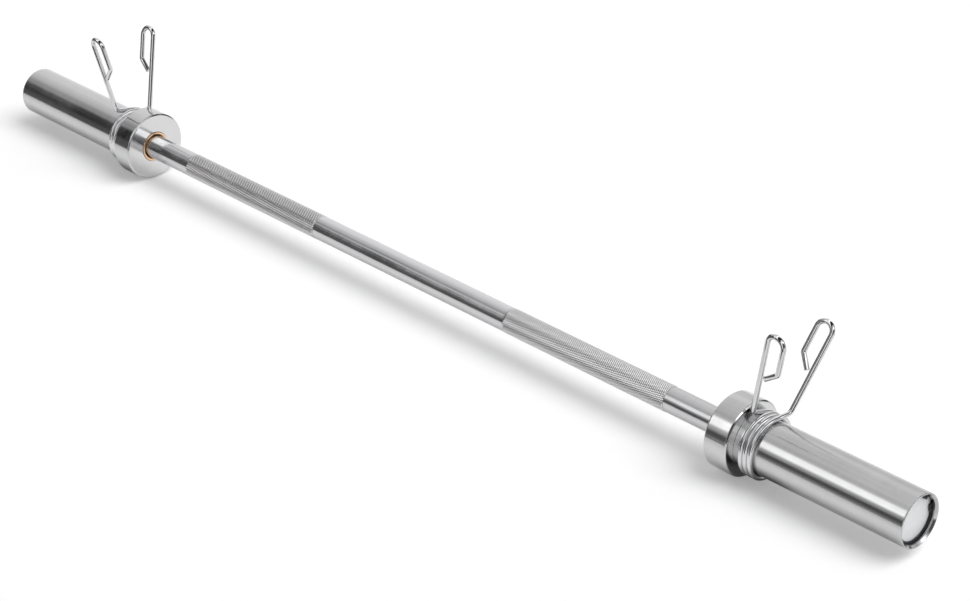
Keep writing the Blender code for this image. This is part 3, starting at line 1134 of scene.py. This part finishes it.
@dataclass(frozen=True)
class Card:
    """A soft-edged patch of the studio that bright metal mirrors.

    Around spans angles about the bar's axis in degrees, from the far side (0) over the top (90) to the
    near side (180). Along spans the share of the direction that runs along the bar, from -1 to 1.
    """

    name: str
    light: float
    around: Span
    along: Span = Span(LEFT_OF_ALL, RIGHT_OF_ALL)


@dataclass
class Studio:
    """The floor, the lamp, the surroundings that the metal mirrors, and the camera."""

    floor_height: float = -0.0355
    floor_light: float = 0.27
    floor_albedo: float = 0.8
    floor_reach: float = 3.0
    near_edge: float = -0.19
    near_fade: float = -0.06
    dim_from: Point = (0.15, 0.45)
    dim_behind: Point = (0.06, 0.25)
    shade_from: Point = (0.385, 0.43)
    shade_across: tuple[Point, Point] = ((-0.05, -0.01), (0.045, 0.075))
    shade_past_coil: Point = (0.452, 0.49)
    shade_levels: Point = (0.9, 0.32)
    shade_depth: float = 0.7
    ambient: float = 0.35
    ambient_lean: float = 0.22
    lamp_strength: float = 2.24
    lamp_tilt_along: float = math.radians(32)
    lamp_tilt_back: float = math.radians(11)
    lamp_width: float = math.radians(48)
    wall: float = 0.76
    camera_place: tuple[float, float, float] = (1.62978, -1.48537, 1.15325)
    camera_target: tuple[float, float, float] = (0.09816, 0.0, 0.00796)
    focal_pixels: float = 2605.36
    picture_width: float = 970.0
    sensor_width: float = 36.0
    clip_range: Point = (0.05, 50.0)
    cards: tuple[Card, ...] = (
        Card("white sweep behind", 1.12, Span(-70, 72, 22), Span(-0.72, -0.585, 0.04)),
        Card("sweep at its left end", 0.98, Span(-70, 74, 24), Span(LEFT_OF_ALL, -0.72, 0.04)),
        Card("low grey wall behind", 0.62, Span(-70, -5, 8), Span(-0.585, -0.40)),
        Card("pale strip behind", 0.94, Span(34, 56, 8), Span(-0.585, -0.40)),
        Card("thin pale line overhead", 0.84, Span(103, 110, 3), Span(-0.585, -0.40)),
        Card("thin grey line overhead", 0.60, Span(115, 121, 3), Span(-0.545, -0.40)),
        Card("fall-off overhead", 0.54, Span(98, 190, 12), Span(LEFT_OF_ALL, -0.545)),
        Card("dark side of the room", 0.36, Span(110, 190, 8), Span(LEFT_OF_ALL, -0.70)),
        Card("darkest corner", 0.01, Span(128, 190, 7), Span(LEFT_OF_ALL, -0.70)),
        Card("thin dark line over the shaft", 0.36, Span(105, 117, 3), Span(-0.70, -0.60)),
        Card("thin grey line over the shaft", 0.74, Span(121, 134, 3), Span(-0.70, -0.60)),
        Card("dark room below the softbox", 0.06, Span(134, 190, 5), Span(-0.70, -0.60)),
        Card("pale strip on the left", 0.72, Span(-60, 150, 10), Span(-0.895, -0.825, 0.015)),
        Card("pale strip low on the left", 0.20, Span(150, 270, 10), Span(-0.895, -0.825, 0.015)),
        Card("dim end of the room on the left", 0.05, Span(-90, 270, 5), Span(LEFT_OF_ALL, -0.90, 0.012)),
        Card("big soft box by the camera", 2.1, Span(130, 155, 5), Span(-0.575, -0.42, 0.03)),
        Card("room beyond the near floor", 0.11, Span(168, 270, 6)),
        Card("room beyond the floor on the right", 0.40, Span(185, 200, 4), Span(-0.56, -0.46)),
        Card("grey gap between the boxes", 0.85, Span(30, 146, 12), Span(-0.46, -0.31, 0.03)),
        Card("pale gap between the boxes", 1.7, Span(0, 150, 12), Span(-0.30, -0.12, 0.03)),
        Card("dark gap left of the camera", 0.06, Span(156, 200, 8), Span(-0.46, 0.16, 0.04)),
        Card("grey strip in that gap", 0.60, Span(156, 200, 8), Span(-0.285, -0.185, 0.02)),
        Card("dark ceiling between the boxes", 0.03, Span(36, 166, 8), Span(-0.10, 0.56, 0.04)),
        Card("white flag by the camera", 1.7, Span(150, 200, 8), Span(0.28, 0.53, 0.04)),
        Card("white flag right of the camera", 1.3, Span(198, 235, 6), Span(0.69, 0.82)),
        Card("dark line low behind", 0.08, Span(-2, 34, 5), Span(-0.14, 0.28, 0.04)),
        Card("grey wall low on the right", 0.46, Span(-30, 30, 8), Span(0.45, 0.85)),
        Card("pale ceiling on the right", 0.85, Span(40, 118, 8), Span(0.45, 0.68)),
        Card("bright strip over the camera", 1.5, Span(120, 150, 6), Span(0.45, 0.66)),
        Card("soft box overhead on the right", 3.1, Span(36, 112, 6), Span(0.70, 0.80)),
        Card("dark corner on the right", 0.05, Span(118, 200, 6), Span(0.69, RIGHT_OF_ALL, 0.02)),
        Card("dark end of the room", 0.12, Span(-90, 270, 5), Span(0.83, RIGHT_OF_ALL)),
    )

    def lay_floor(self) -> None:
        """Lays the pale floor, which the camera sees as white apart from the bar's shadow."""
        shape = bmesh.new()
        bmesh.ops.create_grid(shape, x_segments=2, y_segments=2, size=1.0)
        half = (self.floor_reach - self.near_edge) / 2
        middle = (self.floor_reach + self.near_edge) / 2
        bmesh.ops.scale(shape, vec=(self.floor_reach, half, 1.0), verts=shape.verts)
        bmesh.ops.translate(shape, vec=(0.0, middle, self.floor_height), verts=shape.verts)
        mesh = mesh_of(shape, "studio_floor")
        mesh.materials.append(self.floor_finish())
        floor = put_in_scene("studio_floor", mesh)

    def floor_finish(self) -> bpy.types.Material:
        """The pale floor's material.

        The camera sees it glow evenly. In the metal it glows too, but not at its near edge and not
        behind the bar's right end. Under the sleeves the metal sees painted shade, its colour and glow
        taken down there for mirrored rays, as though the bar hid its light.

        Returns:
            The material.
        """
        material = bpy.data.materials.new("pale floor")
        material.use_nodes = True
        sketch = Sketch(material.node_tree)
        path = sketch.add("LightPath")
        mirrored = path.outputs["Is Glossy Ray"]
        place = sketch.add("SeparateXYZ", {"Vector": sketch.add("TexCoord").outputs["Object"]})
        along, across = place.outputs["X"], place.outputs["Y"]
        out = sketch.calc("ABSOLUTE", along)
        near = sketch.ramp(across, self.near_edge, self.near_fade)
        dim = sketch.product(sketch.ramp(along, *self.dim_from), sketch.ramp(across, *self.dim_behind))
        # painted shade on the floor under the sleeves, which only the metal sees
        first, last = self.shade_across
        painted_shade = sketch.product(
            sketch.ramp(across, *first), sketch.ramp(across, *last, 1.0, 0.0),
            sketch.ramp(out, *self.shade_from), sketch.ramp(out, *self.shade_past_coil, *self.shade_levels),
            mirrored)
        loss = -self.shade_depth * self.floor_albedo
        albedo = sketch.calc("MULTIPLY_ADD", painted_shade, loss, self.floor_albedo)
        grey = sketch.add("CombineColor", {0: albedo, 1: albedo, 2: albedo}).outputs[0]
        matt = sketch.add("BsdfDiffuse", {"Color": grey})
        glowing = sketch.product(
            near, sketch.calc("SUBTRACT", 1.0, dim), sketch.calc("SUBTRACT", mirrored, painted_shade))
        seen = sketch.calc("MAXIMUM", path.outputs["Is Camera Ray"], glowing)
        glow = sketch.add("Emission", {"Strength": sketch.product(seen, self.floor_light)})
        both = sketch.add("AddShader", {0: matt.outputs[0], 1: glow.outputs[0]})
        sketch.add("OutputMaterial", {"Surface": both.outputs[0]})
        return material

    def hang_lamp(self) -> None:
        """Hangs one wide soft lamp overhead, a little to the right and behind."""
        lamp = bpy.data.lights.new("overhead soft lamp", "SUN")
        lamp.energy = self.lamp_strength
        lamp.angle = self.lamp_width
        holder = put_in_scene("overhead soft lamp", lamp)
        towards = Vector((math.tan(self.lamp_tilt_along), math.tan(self.lamp_tilt_back), 1.0))
        holder.rotation_euler = towards.to_track_quat("Z", "Y").to_euler()
        holder.visible_glossy = False

    def surround(self) -> None:
        """Builds the surroundings: white for the camera, even for matt surfaces, cards for metal."""
        world = bpy.data.worlds.new("studio")
        bpy.context.scene.world = world
        world.use_nodes = True
        sketch = Sketch(world.node_tree)
        ray = sketch.add("TexCoord").outputs["Generated"]
        parts = sketch.add("SeparateXYZ", {"Vector": ray})
        along = parts.outputs["X"]
        angle = sketch.calc("ARCTAN2", parts.outputs["Z"], parts.outputs["Y"])
        degrees = sketch.calc("DEGREES", angle)
        behind = sketch.calc("LESS_THAN", degrees, -90.0)
        around = sketch.calc("MULTIPLY_ADD", behind, 360.0, degrees)
        light: Value = self.wall
        for card in self.cards:
            cover = sketch.product(sketch.within(around, card.around), sketch.within(along, card.along))
            mix = {"Factor": cover, "A": light, "B": card.light}
            light = sketch.add("Mix", mix, data_type="FLOAT", label=card.name).outputs["Result"]
        leaning = sketch.calc("MULTIPLY_ADD", parts.outputs["Y"], self.ambient_lean, self.ambient)
        metal, even, white = (
            sketch.add("Background", {"Color": WHITE, "Strength": strength}).outputs[0]
            for strength in (light, leaning, 1.0))
        path = sketch.add("LightPath").outputs
        glossy = sketch.calc("MAXIMUM", path["Is Glossy Ray"], path["Is Transmission Ray"])
        first = sketch.add("MixShader", {0: glossy, 1: even, 2: metal}).outputs[0]
        second = sketch.add("MixShader", {0: path["Is Camera Ray"], 1: first, 2: white}).outputs[0]
        sketch.add("OutputWorld", {"Surface": second})

    def place_camera(self) -> None:
        """Stands the camera where the photograph was taken from."""
        camera = bpy.data.cameras.new("photo camera")
        camera.sensor_width = self.sensor_width
        camera.lens = self.focal_pixels / self.picture_width * camera.sensor_width
        camera.clip_start, camera.clip_end = self.clip_range
        holder = put_in_scene("photo camera", camera)
        holder.location = self.camera_place
        look = Vector(self.camera_target) - Vector(self.camera_place)
        holder.rotation_euler = look.to_track_quat("-Z", "Y").to_euler()
        bpy.context.scene.camera = holder

    def build(self) -> None:
        """Makes the whole studio."""
        self.lay_floor()
        self.hang_lamp()
        self.surround()
        self.place_camera()
        bpy.context.scene.view_settings.view_transform = "Standard"
        LOG.info("the studio is ready")


def main() -> None:
    """Builds the barbell's looks and the studio."""
    logging.basicConfig(level=logging.INFO, format="%(message)s")
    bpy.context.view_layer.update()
    shop = Workshop(Finishes())
    GripBar(shop).build()
    for end, past_collar, roll in ((End.RIGHT, 0.0145, -11.6), (End.LEFT, 0.0112, 2.5)):
        RevolvingSleeve(shop, end).build()
        SpringClip(shop, end, past_collar, math.radians(roll)).build()
    Studio().build()
    for piece in shop.pieces:
        LOG.info("%s has %d faces", piece.name, len(piece.data.polygons))


if __name__ == "__main__":
    main()
